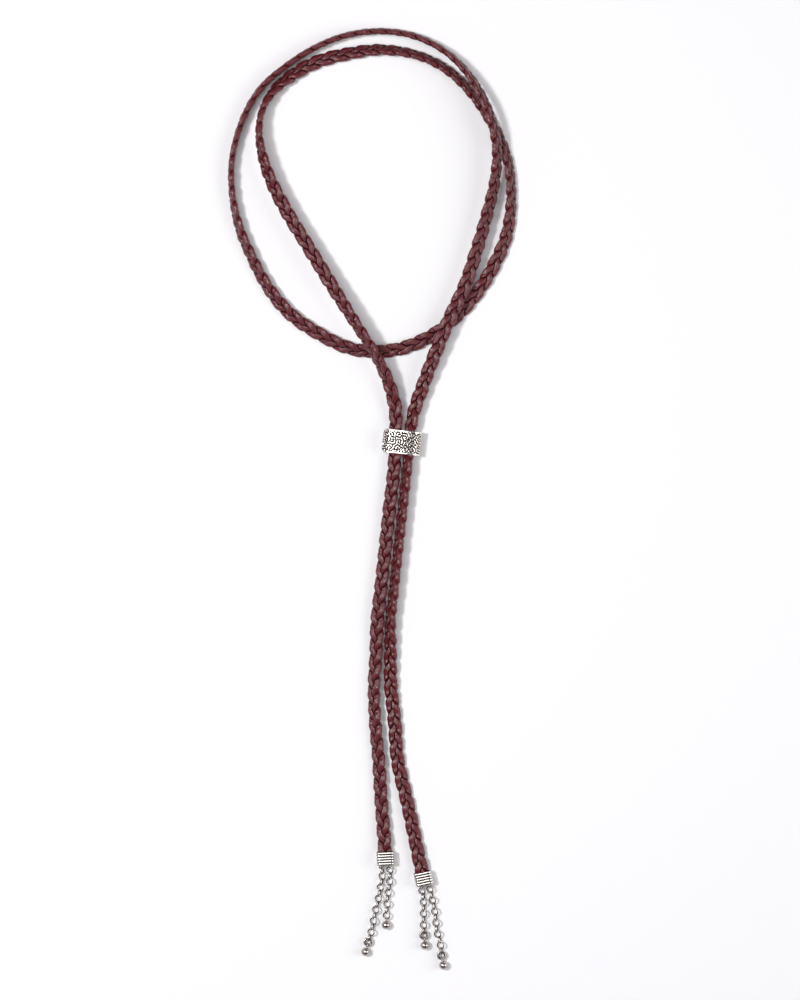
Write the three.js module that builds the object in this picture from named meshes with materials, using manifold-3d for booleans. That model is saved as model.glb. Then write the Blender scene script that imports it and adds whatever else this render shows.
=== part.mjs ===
// Bolo tie laid flat on a table.
// A long flat plait of three leather strands starts in a ribbed tip, goes up through a
// patterned barrel slide, twice round the neck, back through the slide and down to a second
// tip. Two fine chains hang from each tip, and each chain ends in a round ball drop.
// Millimetres, +Z up, +Y from the slide towards the neck loop. The origin is the middle of
// the slide's flat back, in the plane that the tie lies on.
import * as THREE from "three";
import { mergeVertices } from "three/addons/utils/BufferGeometryUtils.js";
import Module from "manifold-3d";

const wasm = await Module();
wasm.setup();

// Plait
const PLAIT_WIDTH = 5.9;
const PLAIT_THICKNESS = 3.1;
const PLAIT_PITCH = 19.5; // length in which a strand crosses over and back once
const FLOOR_GAP = 0.05; // what lies lowest stays this far above the table

// The two tails, side by side in the slide
const TAIL_LEAN = 6.2; // degrees that the straight tails lean to the left, going down
const TAIL_SPACING = 6.2;
const TAIL_SHIFT = 0.45; // the pair's middle stands this far right of the slide's middle
const LEFT_ROLL = 12; // degrees that each tail is rolled where it passes the slide
const RIGHT_ROLL = -20;

// Slide
const BORE_CLEARANCE = 0.4;
const BORE_CORNER = 0.7;
const SLIDE_LENGTH = 10;
const SLIDE_WALL = 0.9; // front and back
const SLIDE_SIDE_WALL = 1.1;
const SLIDE_CORNER = 3.1;
const RIM_WIDTH = 0.8;
const RELIEF_DEPTH = 0.35;
const SCROLL_WIDTH = 0.62;

// Ribbed tips
const TIP_LENGTH = 5.5;
const TIP_WALL = 0.45;
const TIP_CLEARANCE = 0.4;
const TIP_FLOOR = 1.1;
const TIP_RIBS = 5;
const RIB_DEPTH = 0.3;
const TIP_CORNER = 1.5;
const TIP_EASE = 0.2; // how far the plait sinks just before a tip

// Chains
const LINK_OUTER = 3.4;
const LINK_WIRE = 0.55;
const LINK_BITE = 0.1; // depth that neighbouring links are fused into each other
const LINK_TILT = 22; // degrees that the flat links tilt about the chain's line
const EYE_OUTER = 2.4; // soldered eyes under a tip
const EYE_SPACING = 3.5;
const CHAIN_CLEARANCE = 0.3;

// Jump rings and ball drops
const RING_OUTER = 4.0;
const RING_WIRE = 1.0;
const BALL_DIAMETER = 3.7;
const BALL_EYE_WIRE = 0.5;
const BALL_EYE_SINK = BALL_EYE_WIRE / 3; // depth that a ball's eye is sunk into it

// Numbers of sides and steps of the round shapes
const LINK_ROUND = 10;
const WIRE_SIDES = 5;
const BALL_ROUND = 12;
const BALL_RINGS = 6;
const SLIDE_CORNER_STEPS = 4;
const BORE_CORNER_STEPS = 3;
const TIP_CORNER_STEPS = 2;
const SCROLL_STEPS = 3;
const CUT_PAST = 1; // how far a hollow's cutting shape reaches past its mouth

const material = {
  leather: new THREE.MeshStandardMaterial({ color: 0x5b2328, roughness: 0.5, metalness: 0 }),
  silver: new THREE.MeshStandardMaterial({ color: 0xb9b4ac, roughness: 0.35, metalness: 1 }),
};

const rad = THREE.MathUtils.degToRad;
const tie = new THREE.Group();

// A strand's section at two of its six places in one turn of the plait: over the others on
// the right, and at the right edge. Each corner is across and high, as shares of the plait's
// width and thickness, and the other four places are these two turned over.
const OVER_ON_RIGHT = [[0.483, 0.488], [0.24, 0.055], [0.08, 0.34], [0.15, 0.49]];
const AT_RIGHT_EDGE = [[0.495, 0.43], [0.495, -0.43], [0.305, -0.18], [0.305, 0.18]];
const turnedUnder = ([a, b, c, d]) => [b, a, d, c].map(([across, high]) => [across, -high]);
const turnedLeft = ([a, b, c, d]) => [d, c, b, a].map(([across, high]) => [-across, high]);
const rightPlaces = [OVER_ON_RIGHT, AT_RIGHT_EDGE, turnedUnder(OVER_ON_RIGHT)];
const STRAND_PLACES = [...rightPlaces, ...rightPlaces.map(turnedLeft)].map(
  (section) => section.map(([across, high]) => [across * PLAIT_WIDTH, high * PLAIT_THICKNESS]),
);

// How deep the plait reaches below its middle when it is rolled by some degrees.
function halfHeight(roll) {
  const s = Math.abs(Math.sin(rad(roll)));
  const c = Math.abs(Math.cos(rad(roll)));
  return Math.max(...STRAND_PLACES.flat().map(([x, z]) => Math.abs(x) * s + Math.abs(z) * c));
}

// Heights of the plait's underside above the table, at the places that other pieces set.
const boreWidth = TAIL_SPACING + 2 * Math.abs(TAIL_SHIFT) + PLAIT_WIDTH + 2 * BORE_CLEARANCE;
const boreHeight = 2 * Math.max(halfHeight(LEFT_ROLL), halfHeight(RIGHT_ROLL)) + 2 * BORE_CLEARANCE;
const boreLift = SLIDE_WALL + BORE_CLEARANCE;
const tipThickness = PLAIT_THICKNESS + 2 * (TIP_CLEARANCE + TIP_WALL);
const tipLift = TIP_CLEARANCE + TIP_WALL + FLOOR_GAP;

// A place on a straight tail: side is -1 for the left tail and 1 for the right, and down is
// the distance from the slide's middle, towards the tips.
function onTail(side, down) {
  const lean = rad(TAIL_LEAN);
  const across = TAIL_SHIFT + (side * TAIL_SPACING) / 2;
  const x = across * Math.cos(lean) - down * Math.sin(lean);
  const y = -across * Math.sin(lean) - down * Math.cos(lean);
  return [x, y];
}

// The plait's route, from the left tip to the right one. Each row has x, y, the height of
// the underside above the table, and the roll in degrees: 0 lies flat, 90 stands on edge.
const ROUTE = [
  [-6.75, -175.6, tipLift, 0],
  [-7.2, -167.0, tipLift - TIP_EASE, 0],
  [-8.5, -151.0, 0.1, 5],
  [-9.6, -133.5, 0.05, 0],
  [-10.9, -117.0, 0.05, 5],
  [-11.4, -102.0, 0.1, 5],
  [-10.7, -88.5, 0.6, 8],
  [...onTail(-1, 76), 1.1, 10],
  [...onTail(-1, 62), boreLift, LEFT_ROLL],
  [...onTail(-1, 46), boreLift, LEFT_ROLL],
  [...onTail(-1, 28), boreLift, LEFT_ROLL],
  [...onTail(-1, 10), boreLift, LEFT_ROLL],
  [-2.4, 8.3, boreLift, LEFT_ROLL],
  [-3.0, 16.5, 2.1, 16],
  [-6.2, 27.0, 3.6, 34],
  [-12.0, 38.3, 5.4, 50],
  [-20.3, 51.3, 6.2, 36],
  [-29.8, 66.5, 6.2, 14],
  [-39.1, 81.8, 5.8, 15],
  [-48.5, 97.3, 5.2, 16],
  [-55.8, 112.4, 4.4, 34],
  [-59.4, 126.5, 3.4, 50],
  [-58.6, 138.0, 2, 50],
  [-53.8, 147.0, 0.8, 34],
  [-46.1, 153.7, 0.2, 14],
  [-36.4, 159.2, 0.05, 5],
  [-23.5, 162.8, 0.05, 18],
  [-8.8, 164.6, 0.05, 40],
  [6.1, 162.4, 0.05, 52],
  [19.2, 156.1, 0.05, 48],
  [30.5, 145.2, 0.05, 38],
  [38.9, 132.0, 0.05, 32],
  [44.4, 118.6, 0.05, 45],
  [46.0, 104.0, 0.1, 48],
  [44.2, 87.4, 0.1, 20],
  [38.0, 72.9, 0.1, 0],
  [29.2, 59.7, 0.05, 8],
  [17.5, 48.0, 0.05, 8],
  [5.0, 41.1, 0.05, 12],
  [-7.5, 38.2, 0.05, 18],
  [-21.6, 39.4, 0.05, 22],
  [-36.4, 46.5, 0.05, 18],
  [-48.1, 55.2, 0.05, 22],
  [-56.9, 66.4, 0.05, 34],
  [-63.0, 78.0, 0.05, 36],
  [-68.0, 90.0, 0.05, 40],
  [-71.0, 104.5, 0.1, 62],
  [-70.9, 119.5, 0.1, 66],
  [-66.5, 135.4, 0.1, 58],
  [-59.2, 148.1, 0.1, 66],
  [-49.3, 157.0, 0.1, 80],
  [-36.8, 165.1, 0.1, 76],
  [-23.2, 170.5, 0.1, 76],
  [-8.4, 172.3, 0.1, 72],
  [6.3, 169.9, 0.4, 70],
  [19.4, 162.7, 1.6, 74],
  [29.4, 151.7, 4.2, 64],
  [36.4, 138.1, 6.1, 50],
  [39.8, 123.0, 5.9, 50],
  [38.9, 108.5, 4.2, 48],
  [35.4, 94.0, 3.6, 34],
  [31.2, 79.5, 3.6, 22],
  [26.1, 64.5, 4, 8],
  [19.5, 50.5, 4.4, 0],
  [13.7, 36.1, 3.8, 4],
  [8.6, 22.7, 2.6, 4],
  [4.2, 8.6, boreLift, -8],
  [...onTail(1, 10), boreLift, RIGHT_ROLL],
  [...onTail(1, 26), boreLift, RIGHT_ROLL],
  [...onTail(1, 44), boreLift, RIGHT_ROLL],
  [...onTail(1, 62), boreLift, RIGHT_ROLL],
  [...onTail(1, 75), 1, -20],
  [-4.6, -87.0, 0.3, -14],
  [-4.5, -101.5, 0.1, -5],
  [-2.9, -117.0, 0.05, 0],
  [-1.6, -133.5, 0.05, 0],
  [1.9, -149.0, 0.05, 5],
  [5.1, -163.5, 0.2, 5],
  [7.3, -174.3, tipLift - TIP_EASE, 0],
  [9.42, -184.0, tipLift, 0],
];

// Each chain: the tip's side, whether its eye stands on edge, its links, the eye's place on
// the tip (-1 left, 1 right), whether a jump ring holds the ball, and the chain's route in
// x, y from just below the eye on.
const CHAINS = [
  {
    name: "left_long", tip: "left", place: -1, uprightEye: false, links: 13, jumpRing: true,
    route: [
      [-8.2, -182.6], [-9.9, -192.2], [-11.1, -197.2], [-12.6, -204.8], [-14.1, -209.8],
      [-15.6, -215.5],
    ],
  },
  {
    name: "left_short", tip: "left", place: 1, uprightEye: true, links: 9, jumpRing: false,
    route: [[-4.9, -183.5], [-5.4, -188.0], [-5.8, -190.6], [-6.3, -198.5], [-6.5, -204.5]],
  },
  {
    name: "right_short", tip: "right", place: -1, uprightEye: true, links: 8, jumpRing: true,
    route: [[9.1, -190.9], [9.2, -197.0], [9.3, -204.8], [9.7, -210.0], [10.2, -214.5]],
  },
  {
    name: "right_long", tip: "right", place: 1, uprightEye: true, links: 12, jumpRing: true,
    route: [
      [12.7, -191.0], [13.7, -195.2], [14.4, -200.6], [14.9, -205.3], [16.2, -209.9],
      [17.0, -216.9], [18.2, -221.5],
    ],
  },
];

// Shapes and solids

// A closed mesh from rings of points; a loop joins its last ring to its first.
function skin(rings, loop = false) {
  const sides = rings[0].length;
  const position = rings.flat().flatMap((p) => [p.x, p.y, p.z]);
  const index = [];
  const spans = loop ? rings.length : rings.length - 1;
  for (let i = 0; i < spans; i++) {
    for (let j = 0; j < sides; j++) {
      const a = i * sides + j;
      const b = i * sides + ((j + 1) % sides);
      const c = (((i + 1) % rings.length) * sides) + j;
      const d = (((i + 1) % rings.length) * sides) + ((j + 1) % sides);
      index.push(a, b, d, a, d, c);
    }
  }
  if (!loop) {
    const last = (rings.length - 1) * sides;
    for (let j = 1; j < sides - 1; j++) {
      index.push(0, j + 1, j);
      index.push(last, last + j, last + j + 1);
    }
  }
  const geometry = new THREE.BufferGeometry();
  geometry.setAttribute("position", new THREE.Float32BufferAttribute(position, 3));
  geometry.setIndex(index);
  return geometry;
}

function solid(geometry) {
  const bare = geometry.clone();
  bare.deleteAttribute("normal");
  bare.deleteAttribute("uv");
  const merged = mergeVertices(bare, 1e-4);
  const vertProperties = new Float32Array(merged.attributes.position.array);
  const triVerts = new Uint32Array(merged.index.array);
  return new wasm.Manifold(new wasm.Mesh({ numProp: 3, vertProperties, triVerts }));
}

function joined(solids) {
  return solids.reduce((whole, piece) => whole.add(piece));
}

function addPiece(name, shape, look) {
  const mesh = shape.getMesh();
  const geometry = new THREE.BufferGeometry();
  geometry.setAttribute("position", new THREE.BufferAttribute(mesh.vertProperties, 3));
  geometry.setIndex(new THREE.BufferAttribute(mesh.triVerts, 1));
  geometry.computeVertexNormals();
  const piece = new THREE.Mesh(geometry, look);
  piece.name = name;
  tie.add(piece);
  return piece;
}

// A place with its own directions: along, side and up.
function frameAt(origin, along, up) {
  const t = along.clone().normalize();
  const u = up.clone().addScaledVector(t, -up.dot(t)).normalize();
  const s = new THREE.Vector3().crossVectors(t, u);
  return {
    origin, along: t, side: s, up: u,
    point: (across, forward, high) => origin.clone()
      .addScaledVector(s, across).addScaledVector(t, forward).addScaledVector(u, high),
  };
}

const UP = new THREE.Vector3(0, 0, 1);

// A wire ring in a frame: its middle, its mid radius, and its normal turned from up towards
// the side by some degrees about the frame's along direction.
function wireRing(frame, outer, wire, turn, around, sides) {
  const radius = (outer - wire) / 2;
  const axis = frame.up.clone().multiplyScalar(Math.cos(rad(turn)))
    .addScaledVector(frame.side, Math.sin(rad(turn)));
  const inPlane = new THREE.Vector3().crossVectors(axis, frame.along);
  const rings = [];
  for (let i = 0; i < around; i++) {
    const a = ((i + 0.5) / around) * 2 * Math.PI;
    const out = frame.along.clone().multiplyScalar(Math.cos(a)).addScaledVector(inPlane, Math.sin(a));
    const ring = [];
    for (let j = 0; j < sides; j++) {
      const b = (j / sides) * 2 * Math.PI;
      ring.push(frame.origin.clone()
        .addScaledVector(out, radius + (wire / 2) * Math.cos(b))
        .addScaledVector(axis, (-wire / 2) * Math.sin(b)));
    }
    rings.push(ring);
  }
  return solid(skin(rings, true));
}

// A rounded rectangle in x and z, from its middle, with the same number of points whatever
// its size, going round anticlockwise when seen against its forward direction.
function roundedRectangle(width, height, corner, steps) {
  const r = Math.min(corner, width / 2 - 0.01, height / 2 - 0.01);
  const points = [];
  for (const [sx, sz, start] of [[1, -1, -90], [1, 1, 0], [-1, 1, 90], [-1, -1, 180]]) {
    for (let i = 0; i <= steps; i++) {
      const a = rad(start + (90 * i) / steps);
      points.push([sx * (width / 2 - r) + r * Math.cos(a), sz * (height / 2 - r) + r * Math.sin(a)]);
    }
  }
  return points;
}

// A value of a column between the rows of a route: a uniform Catmull-Rom curve.
function between(rows, at, column) {
  const value = (i) => {
    if (i < 0) return 2 * rows[0][column] - rows[1][column];
    if (i >= rows.length) return 2 * rows.at(-1)[column] - rows.at(-2)[column];
    return rows[i][column];
  };
  const i = Math.min(Math.floor(at), rows.length - 2);
  const t = at - i;
  const [a, b, c, d] = [value(i - 1), value(i), value(i + 1), value(i + 2)];
  const first = (c - a) * t;
  const second = (2 * a - 5 * b + 4 * c - d) * t * t;
  const third = (3 * b - a - 3 * c + d) * t * t * t;
  return 0.5 * (2 * b + first + second + third);
}

// Samples of a route with their length from its start. make(at) gives each sample's place.
const SAMPLES_PER_ROW = 24;
function measured(rows, make) {
  const samples = [];
  for (let k = 0; k <= (rows.length - 1) * SAMPLES_PER_ROW; k++) {
    const sample = make(k / SAMPLES_PER_ROW);
    const before = samples.at(-1);
    sample.length = before ? before.length + sample.place.distanceTo(before.place) : 0;
    samples.push(sample);
  }
  return samples;
}

// The frame at a length along a measured route, carried straight on past its ends.
function frameOn(samples, length) {
  const found = samples.findIndex((p) => p.length > length);
  const k = found < 0 ? samples.length - 1 : Math.max(found, 1);
  const [a, b] = [samples[k - 1], samples[k]];
  const share = (length - a.length) / (b.length - a.length);
  const place = a.place.clone().lerp(b.place, share);
  const before = samples[Math.max(k - 2, 0)].place;
  const after = samples[Math.min(k + 1, samples.length - 1)].place;
  const level = frameAt(place, after.clone().sub(before), UP);
  const roll = rad((a.roll ?? 0) + ((b.roll ?? 0) - (a.roll ?? 0)) * share);
  const up = level.up.clone().multiplyScalar(Math.cos(roll))
    .addScaledVector(level.side, -Math.sin(roll));
  return frameAt(place, level.along, up);
}

// Plait
const plaitPath = measured(ROUTE, (at) => {
  const roll = between(ROUTE, at, 3);
  const z = between(ROUTE, at, 2) + halfHeight(roll);
  return { place: new THREE.Vector3(between(ROUTE, at, 0), between(ROUTE, at, 1), z), roll };
});
const plaitLength = plaitPath.at(-1).length;

function makeStrand(name, lead) {
  const places = STRAND_PLACES.length;
  const steps = Math.round(plaitLength / PLAIT_PITCH) * places;
  const rings = [];
  for (let i = 0; i <= steps; i++) {
    const frame = frameOn(plaitPath, (plaitLength * i) / steps);
    const section = STRAND_PLACES[(i + lead) % places];
    rings.push(section.map(([across, high]) => frame.point(across, 0, high)));
  }
  addPiece(name, solid(skin(rings)), material.leather);
}

// A closed bar of rounded rectangles along a frame. Each section has forward, width,
// height, corner and low, the height of its underside above the frame's origin.
function bar(frame, sections, cornerSteps) {
  const rings = sections.map(({ forward, width, height, corner, low }) => {
    const outline = roundedRectangle(width, height, corner, cornerSteps).reverse();
    return outline.map(([x, z]) => frame.point(x, forward, low + height / 2 + z));
  });
  return solid(skin(rings));
}

// Slide
const slideWidth = boreWidth + 2 * SLIDE_SIDE_WALL;
const slideHeight = boreHeight + 2 * SLIDE_WALL;
const slideFrame = frameAt(
  new THREE.Vector3(0, 0, 0),
  new THREE.Vector3(Math.sin(rad(TAIL_LEAN)), Math.cos(rad(TAIL_LEAN)), 0),
  UP,
);

// The patterned field between the rims is sunk by the relief's depth, except on the flat back.
function slideBody() {
  const section = (forward, inset) => ({
    forward, width: slideWidth - 2 * inset, height: slideHeight - inset,
    corner: SLIDE_CORNER - inset, low: 0,
  });
  const end = SLIDE_LENGTH / 2;
  const step = RELIEF_DEPTH / 2;
  return bar(slideFrame, [
    section(-end, step),
    section(-end + step, 0),
    section(-end + RIM_WIDTH, 0),
    section(-end + RIM_WIDTH + step, RELIEF_DEPTH),
    section(end - RIM_WIDTH - step, RELIEF_DEPTH),
    section(end - RIM_WIDTH, 0),
    section(end - step, 0),
    section(end, step),
  ], SLIDE_CORNER_STEPS);
}

// A place on the sunk field's front and sides: round is the distance round the surface from
// its middle line, and forward the distance along the slide.
function onField(round, forward, high) {
  const flat = slideWidth / 2 - SLIDE_CORNER;
  const bend = SLIDE_CORNER - RELIEF_DEPTH;
  const hand = Math.sign(round) || 1;
  const turn = Math.min(Math.max((Math.abs(round) - flat) / bend, 0), Math.PI / 2);
  const down = Math.max(Math.abs(round) - flat - (bend * Math.PI) / 2, 0);
  const across = Math.min(Math.abs(round), flat) + (bend + high) * Math.sin(turn);
  const height = slideHeight - SLIDE_CORNER + (bend + high) * Math.cos(turn) - down;
  return slideFrame.point(hand * across, forward, height);
}

// The raised scrolls: middle and radius as shares of the half field's girth and length, and
// the start and sweep of each arc in degrees.
const SCROLLS = [
  { round: -0.3, forward: 0.12, radius: 0.42, start: 200, sweep: 250 },
  { round: -0.3, forward: 0.1, radius: 0.17, start: 20, sweep: 250 },
  { round: -0.36, forward: -0.66, radius: 0.22, start: 10, sweep: 230 },
  { round: -0.12, forward: -0.62, radius: 0.2, start: 180, sweep: 230 },
  { round: -0.12, forward: 0.74, radius: 0.2, start: 150, sweep: 200 },
  { round: 0.1, forward: 0.45, radius: 0.3, start: -60, sweep: 230 },
  { round: 0.12, forward: -0.15, radius: 0.24, start: 100, sweep: 240 },
  { round: 0.12, forward: -0.7, radius: 0.2, start: -20, sweep: 230 },
  { round: 0.34, forward: 0.66, radius: 0.22, start: 30, sweep: 240 },
  { round: 0.36, forward: 0.02, radius: 0.3, start: 160, sweep: 250 },
  { round: 0.36, forward: -0.62, radius: 0.24, start: -80, sweep: 230 },
  { round: 0.62, forward: 0.4, radius: 0.32, start: 60, sweep: 220 },
  { round: 0.62, forward: -0.4, radius: 0.32, start: 220, sweep: 220 },
  { round: -0.58, forward: 0.5, radius: 0.3, start: 100, sweep: 230 },
  { round: -0.62, forward: -0.3, radius: 0.32, start: -40, sweep: 230 },
];

function scroll({ round, forward, radius, start, sweep }) {
  const halfGirth = slideWidth / 2 + (SLIDE_CORNER * Math.PI) / 2;
  const halfLength = SLIDE_LENGTH / 2 - RIM_WIDTH;
  const reach = radius * halfLength;
  const rings = [];
  for (let i = 0; i <= SCROLL_STEPS; i++) {
    const angle = rad(start + (sweep * i) / SCROLL_STEPS);
    const edge = (off, high) => onField(
      round * halfGirth + (reach + off) * Math.cos(angle),
      forward * halfLength + (reach + off) * Math.sin(angle),
      high,
    );
    const half = SCROLL_WIDTH / 2;
    const sunk = -RELIEF_DEPTH / 2;
    rings.push([
      edge(-half / 2, RELIEF_DEPTH), edge(half / 2, RELIEF_DEPTH), edge(half, sunk), edge(-half, sunk),
    ]);
  }
  return solid(skin(rings));
}

function makeSlide() {
  const bore = { width: boreWidth, height: boreHeight, corner: BORE_CORNER, low: SLIDE_WALL };
  const through = bar(slideFrame, [
    { ...bore, forward: -SLIDE_LENGTH / 2 - CUT_PAST },
    { ...bore, forward: SLIDE_LENGTH / 2 + CUT_PAST },
  ], BORE_CORNER_STEPS);
  const cast = joined([slideBody(), ...SCROLLS.map(scroll)]);
  addPiece("slide", cast.subtract(through), material.silver);
}

// Ribbed tips and their chains
const linkRadius = (LINK_OUTER - LINK_WIRE) / 2;
const linkPitch = LINK_OUTER - 2 * LINK_WIRE + LINK_BITE;
const chainHeight = linkRadius * Math.cos(rad(LINK_TILT)) + LINK_WIRE / 2 + FLOOR_GAP;
const tipWidth = PLAIT_WIDTH + 2 * (TIP_CLEARANCE + TIP_WALL);

// A tip's frame has its origin in the middle of the plait's end and points out of it.
function tipFrame(side) {
  const end = frameOn(plaitPath, side === "left" ? 0 : plaitLength);
  const outward = end.along.clone().multiplyScalar(side === "left" ? -1 : 1).setZ(0);
  return frameAt(end.origin, outward, UP);
}

const tipBottom = TIP_CLEARANCE + TIP_FLOOR;
const eyeRadius = (EYE_OUTER - LINK_WIRE) / 2;

// place is -1 on the left of the picture and 1 on its right: a tip points down in it, so
// its own side direction is the other way round.
function eyeFrame(side, place) {
  const tip = tipFrame(side);
  const forward = tipBottom + EYE_OUTER / 2 - LINK_WIRE / 2;
  const high = chainHeight - tip.origin.z;
  return frameAt(tip.point((-place * EYE_SPACING) / 2, forward, high), tip.along, UP);
}

function makeTip(side) {
  const frame = tipFrame(side);
  const low = -tipThickness / 2;
  const sections = [];
  for (let i = 0; i <= 2 * TIP_RIBS; i++) {
    const inset = i % 2 === 0 ? RIB_DEPTH : 0;
    sections.push({
      forward: tipBottom - TIP_LENGTH + (TIP_LENGTH * i) / (2 * TIP_RIBS),
      width: tipWidth - 2 * inset, height: tipThickness - 2 * inset,
      corner: TIP_CORNER - inset, low: low + inset,
    });
  }
  const socket = {
    width: tipWidth - 2 * TIP_WALL, height: tipThickness - 2 * TIP_WALL,
    corner: TIP_CORNER - TIP_WALL, low: low + TIP_WALL,
  };
  const hollow = bar(frame, [
    { ...socket, forward: tipBottom - TIP_LENGTH - CUT_PAST },
    { ...socket, forward: TIP_CLEARANCE },
  ], TIP_CORNER_STEPS);
  const eyes = CHAINS.filter((chain) => chain.tip === side).map((chain) => wireRing(
    eyeFrame(side, chain.place), EYE_OUTER, LINK_WIRE, chain.uprightEye ? 90 : 0, LINK_ROUND, WIRE_SIDES,
  ));
  const cup = bar(frame, sections, TIP_CORNER_STEPS).subtract(hollow);
  addPiece(`tip_${side}`, joined([cup, ...eyes]), material.silver);
}

function makeChain({ name, tip, place, uprightEye, links, jumpRing, route }) {
  const eye = eyeFrame(tip, place);
  const rows = [[eye.origin.x, eye.origin.y], ...route];
  const line = measured(rows, (at) => (
    { place: new THREE.Vector3(between(rows, at, 0), between(rows, at, 1), chainHeight) }
  ));
  const flatTurn = (flat) => (flat ? LINK_TILT : LINK_TILT + 90);
  const firstLink = eyeRadius + linkRadius - LINK_WIRE - CHAIN_CLEARANCE;
  const lastLink = firstLink + (links - 1) * linkPitch;
  const wires = [];
  for (let i = 0; i < links; i++) {
    const flat = uprightEye ? i % 2 === 0 : i % 2 === 1;
    const frame = frameOn(line, firstLink + i * linkPitch);
    wires.push(wireRing(frame, LINK_OUTER, LINK_WIRE, flatTurn(flat), LINK_ROUND, WIRE_SIDES));
  }
  addPiece(`chain_${name}`, joined(wires), material.silver);

  const heldWire = jumpRing ? RING_WIRE : LINK_WIRE;
  let heldHole = lastLink + linkRadius - LINK_WIRE / 2;
  if (jumpRing) {
    const hole = RING_OUTER / 2 - RING_WIRE;
    const ringMiddle = lastLink + linkRadius + hole - LINK_WIRE / 2 - CHAIN_CLEARANCE;
    const ring = wireRing(frameOn(line, ringMiddle), RING_OUTER, RING_WIRE, 0, LINK_ROUND, WIRE_SIDES);
    addPiece(`jump_ring_${name}`, ring, material.silver);
    heldHole = ringMiddle + hole;
  }
  // The ball's eye goes through the ring or link that holds it, and is sunk into the ball.
  const eyeHole = heldWire / 2 + CHAIN_CLEARANCE;
  const ballEyeRadius = eyeHole + BALL_EYE_WIRE / 2;
  const eyeMiddle = heldHole - CHAIN_CLEARANCE - BALL_EYE_WIRE / 2 + ballEyeRadius;
  const ballMiddle = eyeMiddle + ballEyeRadius + BALL_DIAMETER / 2 - BALL_EYE_SINK;
  const loop = wireRing(
    frameOn(line, eyeMiddle), 2 * ballEyeRadius + BALL_EYE_WIRE, BALL_EYE_WIRE, 90, LINK_ROUND, WIRE_SIDES,
  );
  const ballFrame = frameOn(line, ballMiddle);
  const ball = new THREE.SphereGeometry(BALL_DIAMETER / 2, BALL_ROUND, BALL_RINGS);
  ball.rotateX(Math.PI / 2);
  ball.translate(ballFrame.origin.x, ballFrame.origin.y, BALL_DIAMETER / 2 + FLOOR_GAP);
  addPiece(`ball_drop_${name}`, joined([solid(ball), loop]), material.silver);
}

makeStrand("strand_a", 0);
makeStrand("strand_b", 2);
makeStrand("strand_c", 4);
makeSlide();
makeTip("left");
makeTip("right");
CHAINS.forEach(makeChain);

export default tie;
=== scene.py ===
# %% [markdown]
# # A bolo tie of plaited leather and antique silver
# This lesson dresses a bolo tie. A construction model holds every piece at its real size and
# place: three plaited strands, a barrel slide, two ribbed tips, four chains, jump rings and
# ball drops. Here each of them gets its fine surface. All lengths are in metres, and the
# origin is the middle of the slide's flat back, on the table.

# %% Load the frame
import math

import bpy
import numpy as np
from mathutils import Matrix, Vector


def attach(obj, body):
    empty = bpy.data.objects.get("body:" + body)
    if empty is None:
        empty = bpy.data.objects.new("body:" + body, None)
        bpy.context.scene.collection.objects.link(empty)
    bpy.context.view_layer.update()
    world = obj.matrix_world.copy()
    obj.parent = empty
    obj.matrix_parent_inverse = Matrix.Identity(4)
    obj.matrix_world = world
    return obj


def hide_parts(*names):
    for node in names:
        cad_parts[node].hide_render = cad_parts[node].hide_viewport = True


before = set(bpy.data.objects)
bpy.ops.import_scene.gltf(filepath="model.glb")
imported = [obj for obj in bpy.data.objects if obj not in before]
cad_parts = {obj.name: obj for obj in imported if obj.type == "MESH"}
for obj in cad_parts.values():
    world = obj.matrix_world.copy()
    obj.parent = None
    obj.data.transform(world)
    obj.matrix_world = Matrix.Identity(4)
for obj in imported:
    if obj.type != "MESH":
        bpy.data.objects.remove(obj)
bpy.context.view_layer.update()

# %% [markdown]
# ## Camera
# The tie lies on a pale table and is seen from straight above. A long lens far away keeps the
# long, narrow object free of distortion. The picture is 800 by 1000 pixels, so the sensor's
# 36 mm lie along its height.

# %% Camera
VIEW_HEIGHT = 0.42  # the length of table that fills the picture's height
VIEW_CENTRE = (-0.00063, -0.0242)
CAMERA_DISTANCE = 1.4
SENSOR = 36.0
PICTURE_SHAPE = 0.8  # width of the picture for its height

camera_data = bpy.data.cameras.new("camera")
camera_data.sensor_fit = "VERTICAL"
camera_data.sensor_height = SENSOR
camera_data.sensor_width = SENSOR * PICTURE_SHAPE
camera_data.lens = SENSOR * CAMERA_DISTANCE / VIEW_HEIGHT
camera_data.clip_start = 0.01
camera = bpy.data.objects.new("camera", camera_data)
camera.location = (*VIEW_CENTRE, CAMERA_DISTANCE)
bpy.context.collection.objects.link(camera)
bpy.context.scene.camera = camera
print("lens:", round(camera_data.lens, 1), "mm")

# %% [markdown]
# ## Light
# Polished metal shows what stands around it, so the light is made of large soft panels in a
# dim room: the panels give the white glints and the room between them the dark bands. The
# key panel is small and stands to the upper left, so that clear shadows fall to the right.

# %% Light
def soft_panel(name, place, size, power):
    """A rectangle of light that faces the slide."""
    data = bpy.data.lights.new(name, "AREA")
    data.shape = "RECTANGLE"
    data.size, data.size_y = size
    data.energy = power
    panel = bpy.data.objects.new(name, data)
    panel.location = place
    to_slide = -Vector(place)
    panel.rotation_euler = to_slide.to_track_quat("-Z", "Y").to_euler()
    bpy.context.collection.objects.link(panel)
    print(name, power, "W")


soft_panel("key_panel", place=(-0.66, 0.10, 1.12), size=(0.16, 0.2), power=8.6)
soft_panel("overhead_panel", place=(-0.42, 0.05, 1.6), size=(0.8, 1.3), power=10.5)
soft_panel("right_panel", place=(1.05, -0.1, 0.75), size=(0.8, 1.1), power=6.5)

# %% [markdown]
# ## The room
# A studio's walls are paler low down, and its ceiling is dark behind the lamps. A ramp from
# level directions to steep ones gives this to the world's background. A picture of a room
# could do the same, but two colours are enough here.

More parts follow.
